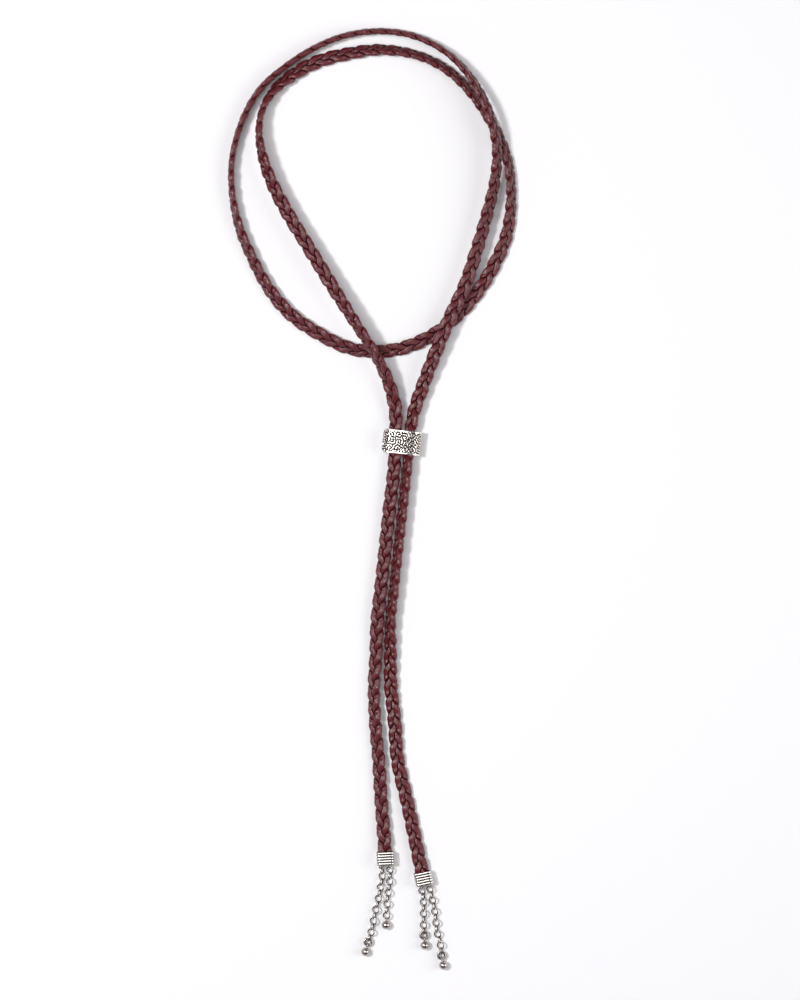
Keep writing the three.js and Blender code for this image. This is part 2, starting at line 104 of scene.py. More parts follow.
# %% Room
WALL_COLOUR = (0.50, 0.45, 0.50, 1)
CEILING_COLOUR = (0.05, 0.047, 0.052, 1)
WALL_HEIGHT = 0.1
CEILING_HEIGHT = 0.8


def room_node_group():
    """Weak light from all round: paler low down, as off walls, and dark overhead."""
    group = bpy.data.node_groups.new("PaleRoom", "ShaderNodeTree")
    group.interface.new_socket("Color", in_out="OUTPUT", socket_type="NodeSocketColor")
    nodes, links = group.nodes, group.links
    heading = nodes.new("ShaderNodeTexCoord")
    split = nodes.new("ShaderNodeSeparateXYZ")
    height = nodes.new("ShaderNodeValToRGB")
    output = nodes.new("NodeGroupOutput")
    low, high = height.color_ramp.elements
    low.position, low.color = WALL_HEIGHT, WALL_COLOUR
    high.position, high.color = CEILING_HEIGHT, CEILING_COLOUR
    links.new(heading.outputs["Generated"], split.inputs["Vector"])
    links.new(split.outputs["Z"], height.inputs["Fac"])
    links.new(height.outputs["Color"], output.inputs["Color"])
    return group


world = bpy.data.worlds.new("room")
world.use_nodes = True
room_nodes, room_links = world.node_tree.nodes, world.node_tree.links
room = room_nodes.new("ShaderNodeGroup")
room.node_tree = room_node_group()
room_links.new(room.outputs["Color"], room_nodes["Background"].inputs["Color"])
room_nodes["Background"].inputs["Strength"].default_value = 1.0
bpy.context.scene.world = world
bpy.context.scene.view_settings.view_transform = "Standard"
print("room:", world.name)

# %% [markdown]
# ## Helpers for meshes
# Nearly every piece here is a row of rings joined by faces: a strand, a tip, a link. One
# helper gives the faces for an array of rings. It can close the row into a loop, or close
# each end with a cap. Another makes the mesh and stores a number for each point, called
# relief. Silver reads it as the height of its relief, and leather as how open a place lies.

# %% Mesh helpers
UP = np.array([0.0, 0.0, 1.0])


def mesh_piece(name, points, faces, relief=None, uv=None):
    mesh = bpy.data.meshes.new(name)
    mesh.from_pydata([tuple(p) for p in points], [], faces)
    mesh.shade_smooth()
    if relief is not None:
        layer = mesh.attributes.new("relief", "FLOAT", "POINT")
        layer.data.foreach_set("value", np.asarray(relief, dtype=np.float32).ravel())
    if uv is not None:
        corners = np.zeros(len(mesh.loops), dtype=np.int32)
        mesh.loops.foreach_get("vertex_index", corners)
        lace_map = mesh.uv_layers.new(name="Lace")
        lace_map.data.foreach_set("uv", np.asarray(uv, dtype=np.float32)[corners].ravel())
    piece = bpy.data.objects.new(name, mesh)
    bpy.context.collection.objects.link(piece)
    return piece


def ring_faces(rings, sides, loop=False):
    """Faces of a skin over rings of points, wound to face outwards."""
    faces = []
    for i in range(rings if loop else rings - 1):
        a = i * sides
        b = ((i + 1) % rings) * sides
        for j in range(sides):
            k = (j + 1) % sides
            faces.append((a + j, b + j, b + k, a + k))
    if not loop:
        last = (rings - 1) * sides
        faces.append(tuple(range(sides)))
        faces.append(tuple(last + j for j in reversed(range(sides))))
    return faces


def unit(v):
    return v / np.linalg.norm(v, axis=-1, keepdims=True)


def smooth_step(low, high, value):
    t = np.clip((value - low) / (high - low), 0, 1)
    return t * t * (3 - 2 * t)


# %% [markdown]
# ## The route of the plait
# The plait is one long cord: up the left tail, through the slide, twice round the neck and
# back down. The list holds chosen points: x, y, the height of the underside above the table
# and the roll in degrees, 0 lying flat and 90 standing on edge. Where the tie crosses
# itself, the upper run is lifted over the lower one.

# %% Route
PLAIT_WIDTH = 0.0059
PLAIT_THICKNESS = 0.0031  # room that the tips leave for it
PLAIT_PITCH = 0.0195
HALF_WIDE = 0.49 * PLAIT_WIDTH  # of the whole plait, whose edges are round
HALF_HIGH = 0.00136  # of the whole plait
FLOOR_GAP = 0.00005
TAIL_LEAN = math.radians(6.2)
TAIL_SPACING = 0.00543
TAIL_SHIFT = 0.00072
LEFT_ROLL = 20
RIGHT_ROLL = -54
RIGHT_LIFT = 0.00119
MOUTH_LIFT = 0.0002  # how much higher the right tail is where it enters the slide
SLIDE_WALL = 0.0009
BORE_CLEARANCE = 0.0004
TIP_WALL = 0.00045
TIP_CLEARANCE = 0.0004
TIP_EASE = 0.0002  # how far the plait sinks just before a tip

bore_lift = SLIDE_WALL + BORE_CLEARANCE
tip_lift = TIP_CLEARANCE + TIP_WALL + FLOOR_GAP


def on_tail(side, down):
    """A place on a straight tail, left (-1) or right (1), down from the slide's middle."""
    across = TAIL_SHIFT + side * TAIL_SPACING / 2
    x = across * math.cos(TAIL_LEAN) - down * math.sin(TAIL_LEAN)
    y = -across * math.sin(TAIL_LEAN) - down * math.cos(TAIL_LEAN)
    return x, y


ROUTE = [
    (-0.00675, -0.1756, tip_lift, 0),
    (-0.0072, -0.167, tip_lift - TIP_EASE, 8),
    (-0.0085, -0.151, 0.0001, 16),
    (-0.0096, -0.1335, 0.00005, 26),
    (-0.0111, -0.117, 0.00005, 36),
    (-0.0116, -0.102, 0.0001, 36),
    (-0.0107, -0.0885, 0.0006, 24),
    (*on_tail(-1, 0.076), 0.0011, 16),
    (*on_tail(-1, 0.062), bore_lift, LEFT_ROLL),
    (*on_tail(-1, 0.046), bore_lift, LEFT_ROLL),
    (*on_tail(-1, 0.028), bore_lift, LEFT_ROLL),
    (*on_tail(-1, 0.01), bore_lift, LEFT_ROLL),
    (-0.0024, 0.0083, bore_lift, LEFT_ROLL),
    (-0.003, 0.0165, 0.0021, 14),
    (-0.0062, 0.027, 0.0036, 36),
    (-0.012, 0.0383, 0.0054, 54),
    (-0.0203, 0.0513, 0.0062, 44),
    (-0.0298, 0.0665, 0.0062, 16),
    (-0.0391, 0.0818, 0.0058, 12),
    (-0.0485, 0.0973, 0.0052, 16),
    (-0.0558, 0.1124, 0.0044, 40),
    (-0.0594, 0.1265, 0.0034, 70),
    (-0.0586, 0.138, 0.002, 78),
    (-0.0538, 0.147, 0.0008, 58),
    (-0.0461, 0.1537, 0.0002, 28),
    (-0.0364, 0.1592, 0.00005, 8),
    (-0.0235, 0.1628, 0.00005, 18),
    (-0.0088, 0.1646, 0.00005, 40),
    (0.0061, 0.1624, 0.00005, 55),
    (0.0192, 0.1561, 0.00005, 55),
    (0.0305, 0.1452, 0.00005, 48),
    (0.0389, 0.132, 0.00005, 45),
    (0.0444, 0.1186, 0.00005, 55),
    (0.046, 0.104, 0.0001, 55),
    (0.0442, 0.0874, 0.0001, 30),
    (0.038, 0.0729, 0.0001, 8),
    (0.0292, 0.0597, 0.00005, 5),
    (0.0175, 0.048, 0.00005, 8),
    (0.005, 0.0411, 0.00005, 12),
    (-0.0075, 0.0382, 0.00005, 18),
    (-0.0216, 0.0394, 0.00005, 22),
    (-0.0364, 0.0465, 0.00005, 18),
    (-0.0481, 0.0552, 0.00005, 22),
    (-0.0569, 0.0664, 0.00005, 40),
    (-0.063, 0.078, 0.00005, 50),
    (-0.068, 0.09, 0.00005, 62),
    (-0.071, 0.1045, 0.0001, 80),
    (-0.0709, 0.1195, 0.0001, 85),
    (-0.0665, 0.1354, 0.0001, 80),
    (-0.0592, 0.1481, 0.0001, 80),
    (-0.0493, 0.157, 0.0001, 85),
    (-0.0368, 0.1651, 0.0001, 82),
    (-0.0232, 0.1705, 0.0001, 80),
    (-0.0084, 0.1723, 0.0001, 78),
    (0.0063, 0.1699, 0.0004, 76),
    (0.0194, 0.1627, 0.0016, 78),
    (0.0294, 0.1517, 0.0042, 68),
    (0.0364, 0.1381, 0.006, 58),
    (0.0398, 0.123, 0.0056, 55),
    (0.0389, 0.1085, 0.0042, 48),
    (0.0354, 0.094, 0.0036, 34),
    (0.0312, 0.0795, 0.0036, 22),
    (0.0261, 0.0645, 0.004, 8),
    (0.0195, 0.0505, 0.0044, 0),
    (0.0137, 0.0361, 0.0038, 2),
    (0.0086, 0.0227, 0.0026, 2),
    (0.0042, 0.0086, RIGHT_LIFT + MOUTH_LIFT, -34),
    (*on_tail(1, 0.01), RIGHT_LIFT, RIGHT_ROLL),
    (*on_tail(1, 0.026), RIGHT_LIFT, RIGHT_ROLL),
    (*on_tail(1, 0.044), RIGHT_LIFT, RIGHT_ROLL),
    (*on_tail(1, 0.062), RIGHT_LIFT, RIGHT_ROLL),
    (*on_tail(1, 0.075), 0.0009, -48),
    (-0.0046, -0.087, 0.0003, -34),
    (-0.0045, -0.1015, 0.0001, -14),
    (-0.0029, -0.117, 0.00005, -5),
    (-0.0016, -0.1335, 0.00005, 0),
    (0.0019, -0.149, 0.00005, 5),
    (0.0051, -0.1635, 0.0002, 5),
    (0.0073, -0.1743, tip_lift - TIP_EASE, 0),
    (0.00942, -0.184, tip_lift, 0),
]
print("chosen points:", len(ROUTE))

# %% [markdown]
# ## Along the route
# A uniform Catmull-Rom curve goes through every chosen point, and each number of a row is
# blended in the same way. A curve object could carry the plait too, but its twist is harder
# to steer. Here each sample gets a small frame of three directions instead: along the cord,
# across its width and up through its thickness, turned by the roll.

# %% Frames along a route
SAMPLES_PER_ROW = 24


def blended(rows, at):
    """Rows of numbers blended at places between the rows."""
    rows = np.asarray(rows, dtype=float)
    rows = np.vstack([2 * rows[0] - rows[1], rows, 2 * rows[-1] - rows[-2]])
    i = np.clip(np.floor(at).astype(int), 0, len(rows) - 4)
    t = (at - i)[:, None]
    a, b, c, d = rows[i], rows[i + 1], rows[i + 2], rows[i + 3]
    bend = (c - a) * t + (2 * a - 5 * b + 4 * c - d) * t**2 + (3 * b - a - 3 * c + d) * t**3
    return 0.5 * (2 * b + bend)


def fine_samples(rows):
    """Many samples of a route, from its first row to its last."""
    at = np.arange((len(rows) - 1) * SAMPLES_PER_ROW + 1) / SAMPLES_PER_ROW
    at[-1] -= 1e-9  # keeps the last sample inside the last stretch
    return blended(rows, at)


def lengths_to(samples):
    """The length of route up to each sample."""
    steps = np.linalg.norm(np.diff(samples[:, :3], axis=0), axis=1)
    return np.concatenate([[0], np.cumsum(steps)])


def at_lengths(samples, lengths, wanted):
    """Samples at the wanted lengths, carried straight on past both ends."""
    found = np.stack([np.interp(wanted, lengths, column) for column in samples.T], axis=1)
    before = np.minimum(wanted, 0)[:, None] * unit(samples[1, :3] - samples[0, :3])
    past_end = np.maximum(wanted - lengths[-1], 0)[:, None]
    after = past_end * unit(samples[-1, :3] - samples[-2, :3])
    found[:, :3] += before + after
    return found


def frames(places, rolls):
    """Directions along the cord, across its width and up through its thickness."""
    along = unit(np.gradient(places, axis=0))
    level = unit(UP - along * (along @ UP)[:, None])
    side = np.cross(along, level)
    rolls = np.radians(rolls)[:, None]
    up = level * np.cos(rolls) - side * np.sin(rolls)
    return along, np.cross(along, up), up


def half_height(roll):
    """How far the rolled plait reaches above and below its middle."""
    s, c = np.sin(np.radians(roll)), np.cos(np.radians(roll))
    return np.hypot(HALF_WIDE * s, HALF_HIGH * c)


plait_samples = fine_samples(ROUTE)
plait_samples[:, 2] += half_height(plait_samples[:, 3])
plait_lengths = lengths_to(plait_samples)
plait_length = plait_lengths[-1]
print("plait:", round(plait_length, 3), "m long")

# %% [markdown]
# ## The turns of the plait
# In a flat plait each strand swings from edge to edge while it goes over one neighbour and
# under the other. A sine gives the swing, and a sine of twice its pace the over and under.
# The samples are spaced evenly along the cord, so that every turn is as long as the next.

# %% Turns of the plait
SWING = 0.00145  # of a strand's middle to each side
RISE = 0.00067  # of a strand's middle over and under
STEPS_PER_TURN = 46
FIRST_TURN = math.radians(30)

turns = round(plait_length / PLAIT_PITCH)
plait_steps = turns * STEPS_PER_TURN
plait_downs = np.linspace(0, plait_length, plait_steps + 1)
plait_places = at_lengths(plait_samples, plait_lengths, plait_downs)
plait_along, plait_side, plait_up = frames(plait_places[:, :3], plait_places[:, 3])
turn_angle = FIRST_TURN + 2 * math.pi * turns * plait_downs / plait_length


def lace_middle(lead):
    """A strand's middle across and above the plait's, at every step."""
    angle = turn_angle + lead
    return np.stack([SWING * np.sin(angle), RISE * np.sin(2 * angle)], axis=1)


print("turns:", turns)

# %% [markdown]
# ## The section of a strand
# Real laces are soft and press each other flat where they meet. So every section starts as
# the lace's own oval, turned on edge where it rounds the plait's edge, and is then pressed
# back to the middle line between it and each neighbour. The strands fill the plait, but
# never cut into each other. A softly uneven width keeps the plait from looking machined.

# %% Sections of a strand
LACE_HALF = 0.00146  # half width of a lace where it rounds the edge
LACE_SPREAD = 0.00025  # how much wider it gets where it lies over or under
LACE_FULLNESS = 2.1
LACE_SIDES = 20
LACE_UNEVENNESS = 0.035
UNEVEN_STEPS = STEPS_PER_TURN / 3
UNEVEN_SEED = 10
EDGE_HIGH = 0.00104  # half height of a lace where it rounds the edge
PRESSED_GAP = 0.00004
PRESS_SHARPNESS = 9.0

lace_heading = np.arange(LACE_SIDES) * 2 * math.pi / LACE_SIDES
lace_outward = np.stack([np.cos(lace_heading), np.sin(lace_heading)], axis=1)


def slow_noise(seed, count, length):
    """An uneven line between about -1 and 1 that repeats no pattern."""
    draws = np.random.default_rng(seed).uniform(-1, 1, int(count / length) + 4)
    return np.interp(np.arange(count) / length, np.arange(len(draws)), draws)


def lace_sections(number):
    """A strand's pressed outline at every step, and how open each point of it lies."""
    leads = [2 * math.pi * (number + k) / 3 for k in range(3)]
    middle, *neighbours = [lace_middle(lead) for lead in leads]
    noise = slow_noise(UNEVEN_SEED + number, plait_steps + 1, UNEVEN_STEPS)
    spread = np.abs(middle[:, 1]) / RISE
    half_wide = (LACE_HALF + LACE_SPREAD * spread) * (1 + LACE_UNEVENNESS * noise)
    crest = EDGE_HIGH + (HALF_HIGH - EDGE_HIGH) * spread[:, None]
    half_high = crest - np.sign(lace_outward[:, 1]) * middle[:, 1:]
    oval = (np.abs(lace_outward[:, 0]) / half_wide[:, None]) ** LACE_FULLNESS
    oval = oval + (np.abs(lace_outward[:, 1]) / half_high) ** LACE_FULLNESS
    alone = oval ** (PRESS_SHARPNESS / LACE_FULLNESS)
    pressed = alone.copy()
    for other in neighbours:
        apart = other - middle
        distance = np.linalg.norm(apart, axis=1)[:, None]
        facing = apart / distance @ lace_outward.T
        room = (distance - PRESSED_GAP) / 2
        pressed += (np.maximum(facing, 0) / room) ** PRESS_SHARPNESS
    reach = pressed ** (-1 / PRESS_SHARPNESS)
    outline = middle[:, None, :] + lace_outward * reach[:, :, None]
    return outline, alone / pressed


# %% [markdown]
# ## The three strands
# The outlines are laid into the frames along the plait and joined to a skin. Each point also
# gets its place on the lace's own map, round it and along it. The numbers 0, 1 and 2 of the
# strands put them a third of a turn apart.

# %% Strands
LOWEST = 0.00002  # no leather lies below this height


def laid_strand(name, number):
    outline, openness = lace_sections(number)
    points = (
        plait_places[:, None, :3]
        + plait_side[:, None, :] * outline[:, :, :1]
        + plait_up[:, None, :] * outline[:, :, 1:]
    )
    points[:, :, 2] = np.maximum(points[:, :, 2], LOWEST)
    across = np.broadcast_to(lace_heading / (2 * math.pi), openness.shape)
    down = np.broadcast_to((plait_downs / (2 * PLAIT_WIDTH))[:, None], openness.shape)
    uv = np.stack([across, down], axis=2).reshape(-1, 2)
    faces = ring_faces(len(outline), LACE_SIDES)
    return mesh_piece(name, points.reshape(-1, 3), faces, relief=openness, uv=uv)


strands = [laid_strand(f"leather_{letter}", number) for number, letter in enumerate("abc")]
print("points of a strand:", len(strands[0].data.vertices))

# %% [markdown]
# ## Colour, grain and painted shade of the leather
# The lace's own map runs round it and along it, so fine streaks of the grain can follow the
# lace. The map is rolled up into a tube first, which leaves no seam where it closes. Larger
# clouds make the dye uneven. Where a lace is pressed against its neighbours, shade is painted
# into the colour, so the creases are darker as if shadow fell there. All of this is one node
# group, so that another leather could use it.

# %% Leather node group
DARK_DYE = (0.078, 0.0075, 0.0105, 1)
BRIGHT_DYE = (0.150, 0.020, 0.026, 1)
# Painted shade: the crease colour below darkens the dye where laces press, fully up to the first
# openness and fading out by the second.
CREASE_PAINTED_SHADE = (0.16, 0.12, 0.12, 1)
FULL_PAINTED_SHADE_UP_TO = 0.35  # openness below which a place is a full crease
UNSHADED_FROM = 0.995
STREAK_STRETCH = 0.9
STREAK_SCALE = 5.5
CLOUD_SCALE = 3.0
PORE_SCALE = 2600.0
STREAK_SHARE = 0.9
CLOUD_SHARE = 0.5
DYE_SHIFT = 0.2
PORE_SHARE = 0.12


def lace_node_group():
    """Leather colour, with painted shade in the creases, and grain height from map and openness."""
    group = bpy.data.node_groups.new("LaceLeather", "ShaderNodeTree")
    interface = group.interface
    interface.new_socket("Openness", in_out="INPUT", socket_type="NodeSocketFloat")
    interface.new_socket("Map", in_out="INPUT", socket_type="NodeSocketVector")
    interface.new_socket("Color", in_out="OUTPUT", socket_type="NodeSocketColor")
    interface.new_socket("Height", in_out="OUTPUT", socket_type="NodeSocketFloat")
    nodes, links = group.nodes, group.links
    given = nodes.new("NodeGroupInput")
    output = nodes.new("NodeGroupOutput")

    def math_node(operation, first, second=None):
        node = nodes.new("ShaderNodeMath")
        node.operation = operation
        for socket, value in zip(node.inputs, (first, second)):
            if isinstance(value, (int, float)):
                socket.default_value = value
            elif value is not None:
                links.new(value, socket)
        return node.outputs["Value"]

    def noise(vector, scale, detail):
        node = nodes.new("ShaderNodeTexNoise")
        node.inputs["Scale"].default_value = scale
        node.inputs["Detail"].default_value = detail
        links.new(vector, node.inputs["Vector"])
        return node.outputs["Fac"]

    split = nodes.new("ShaderNodeSeparateXYZ")
    links.new(given.outputs["Map"], split.inputs["Vector"])
    turn = math_node("MULTIPLY", split.outputs["X"], 2 * math.pi)
    tube = nodes.new("ShaderNodeCombineXYZ")
    links.new(math_node("COSINE", turn), tube.inputs["X"])
    links.new(math_node("SINE", turn), tube.inputs["Y"])
    links.new(math_node("MULTIPLY", split.outputs["Y"], STREAK_STRETCH), tube.inputs["Z"])
    streaks = noise(tube.outputs["Vector"], STREAK_SCALE, detail=3.0)
    clouds = noise(given.outputs["Map"], CLOUD_SCALE, detail=2.0)
    place = nodes.new("ShaderNodeTexCoord")
    pores = noise(place.outputs["Object"], PORE_SCALE, detail=2.0)

    dye = nodes.new("ShaderNodeMix")
    dye.data_type = "RGBA"
    dye.inputs["A"].default_value = DARK_DYE
    dye.inputs["B"].default_value = BRIGHT_DYE
    streak_dye = math_node("MULTIPLY", streaks, STREAK_SHARE)
    cloud_dye = math_node("MULTIPLY", clouds, CLOUD_SHARE)
    patches = math_node("ADD", streak_dye, cloud_dye)
    links.new(math_node("SUBTRACT", patches, DYE_SHIFT), dye.inputs["Factor"])

    # Painted shade: a ramp over openness darkens the dye in the pressed creases, where shadow
    # falls.
    crease_shade = nodes.new("ShaderNodeValToRGB")
    full_shade, no_shade = crease_shade.color_ramp.elements
    full_shade.position, full_shade.color = FULL_PAINTED_SHADE_UP_TO, CREASE_PAINTED_SHADE
    no_shade.position, no_shade.color = UNSHADED_FROM, (1, 1, 1, 1)
    links.new(given.outputs["Openness"], crease_shade.inputs["Fac"])
    shaded_dye = nodes.new("ShaderNodeMix")
    shaded_dye.data_type = "RGBA"
    shaded_dye.blend_type = "MULTIPLY"
    shaded_dye.inputs["Factor"].default_value = 1.0
    links.new(dye.outputs["Result"], shaded_dye.inputs["A"])
    links.new(crease_shade.outputs["Color"], shaded_dye.inputs["B"])
    links.new(shaded_dye.outputs["Result"], output.inputs["Color"])

    grain = math_node("ADD", streaks, math_node("MULTIPLY", pores, PORE_SHARE))
    links.new(grain, output.inputs["Height"])
    return group


# %% [markdown]
# ## The leather's shader
# Polished leather is deep in colour and fairly glossy, so its roughness is low. Its grain is
# far too fine for the mesh, and a bump node raises it. The three strands share this one
# material.

# %% Leather material
LEATHER_ROUGHNESS = 0.25
GRAIN_STRENGTH = 0.6
GRAIN_HEIGHT = 0.0003

leather = bpy.data.materials.new("burgundy_leather")
leather.use_nodes = True
leather_nodes, leather_links = leather.node_tree.nodes, leather.node_tree.links
leather_shader = leather_nodes["Principled BSDF"]
leather_shader.inputs["Roughness"].default_value = LEATHER_ROUGHNESS
openness = leather_nodes.new("ShaderNodeAttribute")
openness.attribute_name = "relief"
lace_map = leather_nodes.new("ShaderNodeUVMap")
lace_map.uv_map = "Lace"
lace_look = leather_nodes.new("ShaderNodeGroup")
lace_look.node_tree = lace_node_group()
grain_bump = leather_nodes.new("ShaderNodeBump")
grain_bump.inputs["Strength"].default_value = GRAIN_STRENGTH
grain_bump.inputs["Distance"].default_value = GRAIN_HEIGHT
leather_links.new(openness.outputs["Fac"], lace_look.inputs["Openness"])
leather_links.new(lace_map.outputs["UV"], lace_look.inputs["Map"])
leather_links.new(lace_look.outputs["Color"], leather_shader.inputs["Base Color"])
leather_links.new(lace_look.outputs["Height"], grain_bump.inputs["Height"])
leather_links.new(grain_bump.outputs["Normal"], leather_shader.inputs["Normal"])

for strand, letter in zip(strands, "abc"):
    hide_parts(f"strand_{letter}")
    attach(strand, "tie")
    strand.data.materials.append(leather)
print("strands:", len(strands))

# %% [markdown]
# ## Shapes shared by the metal pieces
# A frame here is a place with three directions: along, side and up. Wire rings and rounded
# rectangles are made in such frames, with the sizes of the construction model. Each shape
# is its points, its faces and its relief, so that several shapes can be joined to one mesh.

# %% Metal helpers
WIRE_SHADE = 0.42
WIRE_SHADE_SWING = 0.26  # wire is brighter outside, where it rubs, than inside
BALL_SHADE = 0.6


def frame_at(origin, along):
    along = unit(np.array([along[0], along[1], 0.0]))
    return {"origin": np.asarray(origin, dtype=float), "along": along, "side": np.cross(along, UP)}


def placed(frame, across, forward, high):
    """Points from their distances along a frame's three directions."""
    across, forward, high = np.broadcast_arrays(across, forward, high)
    return (
        frame["origin"]
        + across[..., None] * frame["side"]
        + forward[..., None] * frame["along"]
        + high[..., None] * UP
    )


def wire_ring(frame, outer, wire, turn, around=32, sides=12):
    """A ring of wire, its normal turned from up towards the side by some degrees."""
    turn = math.radians(turn)
    axis = UP * math.cos(turn) + frame["side"] * math.sin(turn)
    across = np.cross(axis, frame["along"])
    a = (np.arange(around) / around * 2 * math.pi)[:, None, None]
    b = (np.arange(sides) / sides * 2 * math.pi)[None, :, None]
    out = frame["along"] * np.cos(a) + across * np.sin(a)
    middle = out * (outer - wire) / 2
    ring = frame["origin"] + middle + (out * np.cos(b) + axis * np.sin(b)) * wire / 2
    shade = np.broadcast_to(WIRE_SHADE + WIRE_SHADE_SWING * np.cos(b), (around, sides, 1))
    return ring.reshape(-1, 3), ring_faces(around, sides, loop=True), shade.ravel()


def ball_shape(centre, diameter, rings=24, sides=40):
    """A ball as flat rings of points from its bottom to its top."""
    tilt = (np.arange(rings) + 0.5) / rings * math.pi
    turn = np.arange(sides) / sides * 2 * math.pi
    x = np.sin(tilt)[:, None] * np.cos(turn)
    y = np.sin(tilt)[:, None] * np.sin(turn)
    z = np.broadcast_to(-np.cos(tilt)[:, None], x.shape)
    points = np.stack([x, y, z], axis=2).reshape(-1, 3) * diameter / 2
    return centre + points, ring_faces(rings, sides), np.full(len(points), BALL_SHADE)


def silver_piece(name, shapes):
    """One mesh from the points, faces and relief of its shapes."""
    faces, count = [], 0
    for shape_points, shape_faces, _ in shapes:
        faces += [tuple(count + v for v in face) for face in shape_faces]
        count += len(shape_points)
    points = np.concatenate([shape[0] for shape in shapes])
    relief = np.concatenate([shape[2] for shape in shapes])
    return mesh_piece(name, points, faces, relief=relief)


# %% [markdown]
# ## Rounded rectangles
# The slide, its bore and the tips all have a rounded rectangle as their section. The slide's
# outside and its bore get the same number of points, so that faces can join them ring by
# ring at the two mouths.

# %% Rounded rectangle
def rounded_rectangle(width, height, corner, steps):
    """A rounded rectangle round its middle, from the right of its lower edge, anticlockwise.

    steps holds the number of points on a corner, on an upright side and on a level side.
    """
    in_corner, in_side, in_level = steps
    corner = min(corner, width / 2, height / 2)
    half_x, half_z = width / 2 - corner, height / 2 - corner
    corners = ((1, -1, -90), (1, 1, 0), (-1, 1, 90), (-1, -1, 180))
    arcs = []
    for x, z, start in corners:
        angle = np.radians(start + 90 * np.arange(in_corner + 1) / in_corner)
        across = x * half_x + corner * np.cos(angle)
        high = z * half_z + corner * np.sin(angle)
        arcs.append(np.stack([across, high], axis=1))
    points = []
    for i, arc in enumerate(arcs):
        in_edge = (in_side, in_level)[i % 2]
        share = (np.arange(1, in_edge) / in_edge)[:, None]
        next_arc = arcs[(i + 1) % 4]
        points += [arc, arc[-1] + (next_arc[0] - arc[-1]) * share]
    return np.concatenate(points)


# %% [markdown]
# ## The scrolls on the slide
# The field between the slide's rims is sunk, and scrolls stand up from it. The scrolls'
# middles are those of the construction model. Rings of ridges run round each of them, and
# the ridges of neighbouring scrolls melt into each other, as on a casting. Waves of about
# the same pace in random directions break up what is too regular.

# %% Scrolls
SLIDE_LENGTH = 0.010
SLIDE_SIDE_WALL = 0.0011
SLIDE_CORNER = 0.0031
CONSTRUCTION_SPACING = 0.0062  # of the tails, in the construction model
BORE_ROOM = 0.00045  # at each side of the bore, beyond the clearance
BORE_HEIGHT = 0.00559
RIM_WIDTH = 0.00065
SCROLL_REACH = 0.0012
RIDGE_SPACING = 0.00105
WAVE_SEED = 7
WAVES = 40
WAVE_PACES = (0.8, 1.15)  # of a wave's ridges for those of a scroll
WAVE_SHARE = 0.6
HOLLOW_BELOW = -0.2
CREST_ABOVE = 0.4

bore_width = CONSTRUCTION_SPACING + 2 * BORE_ROOM + PLAIT_WIDTH + 2 * BORE_CLEARANCE
slide_width = bore_width + 2 * SLIDE_SIDE_WALL
slide_height = BORE_HEIGHT + 2 * SLIDE_WALL

# Middle of each scroll as shares of the half field's girth and length, and its hand.
SCROLLS = [
    (-0.3, 0.12, 1),
    (-0.36, -0.66, -1),
    (-0.12, -0.62, 1),
    (-0.12, 0.74, -1),
    (0.1, 0.45, -1),
    (0.12, -0.15, 1),
    (0.12, -0.7, -1),
    (0.34, 0.66, 1),
    (0.36, 0.02, -1),
    (0.36, -0.62, 1),
    (0.62, 0.4, 1),
    (0.62, -0.4, -1),
    (-0.58, 0.5, 1),
    (-0.62, -0.3, -1),
]


def scroll_relief(round_it, forward):
    """The relief's height, 0 to 1, at distances round the slide's girth and along it."""
    half_girth = slide_width / 2 + SLIDE_CORNER * math.pi / 2
    half_length = SLIDE_LENGTH / 2 - RIM_WIDTH
    total, weights = np.zeros_like(round_it), np.full_like(round_it, 1e-6)
    for across, along, hand in SCROLLS:
        x, y = round_it - across * half_girth, forward - along * half_length
        distance = np.hypot(x, y)
        weight = np.exp(-((distance / SCROLL_REACH) ** 2))
        ridges = 2 * math.pi * distance / RIDGE_SPACING
        total += weight * np.cos(ridges + hand * np.arctan2(y, x))
        weights += weight
    draws = np.random.default_rng(WAVE_SEED)
    rough = np.zeros_like(round_it)
    for _ in range(WAVES):
        heading, phase = draws.uniform(0, 2 * math.pi, 2)
        pace = 2 * math.pi / (RIDGE_SPACING * draws.uniform(*WAVE_PACES))
        ahead = round_it * math.cos(heading) + forward * math.sin(heading)
        rough += np.cos(pace * ahead + phase)
    height = total / weights + WAVE_SHARE * rough / math.sqrt(WAVES / 2)
    return smooth_step(HOLLOW_BELOW, CREST_ABOVE, height)


print("slide:", round(slide_width, 4), "by", round(slide_height, 4), "m")

# %% [markdown]
# ## The barrel slide
# The slide is a flattened barrel with a straight bore and a plain rim at each end. Its skin
# runs over the outside and back through the bore as one loop of rings. The relief could be a
# bump in the material, but then the slide's outline and shadows would stay plain, so the
# points themselves are moved. The height of the relief is kept at each point, so that the
# silver can be dark in the hollows.

# %% Slide
SLIDE_CROWN = 0.0009  # how much lower the front is at its sides
BORE_CORNER = 0.0022
BORE_SHADE = 0.35
RIM_ROUND = 0.00025
RIM_RINGS = 7
RIM_MIDDLE = 0.0003  # how far the ring in the middle of a rim lies from the field
RELIEF_DEPTH = 0.00035
FIELD_EDGE = 0.00025  # width of the slope from a rim down to the field
FIELD_RINGS = 90
FIELD_OVERLAP = 0.0001  # how far the field's rings run on into the rims
BACK_HEIGHT = 0.0004  # the back is plain up to here
FRONT_HEIGHT = 0.0016  # the relief is full from here on
SLIDE_STEPS = (44, 12, 90)
MOUTH_FLARE = 1.02
MOUTH_DEPTH = 0.0002

slide_frame = frame_at((0, 0, 0), (math.sin(TAIL_LEAN), math.cos(TAIL_LEAN)))


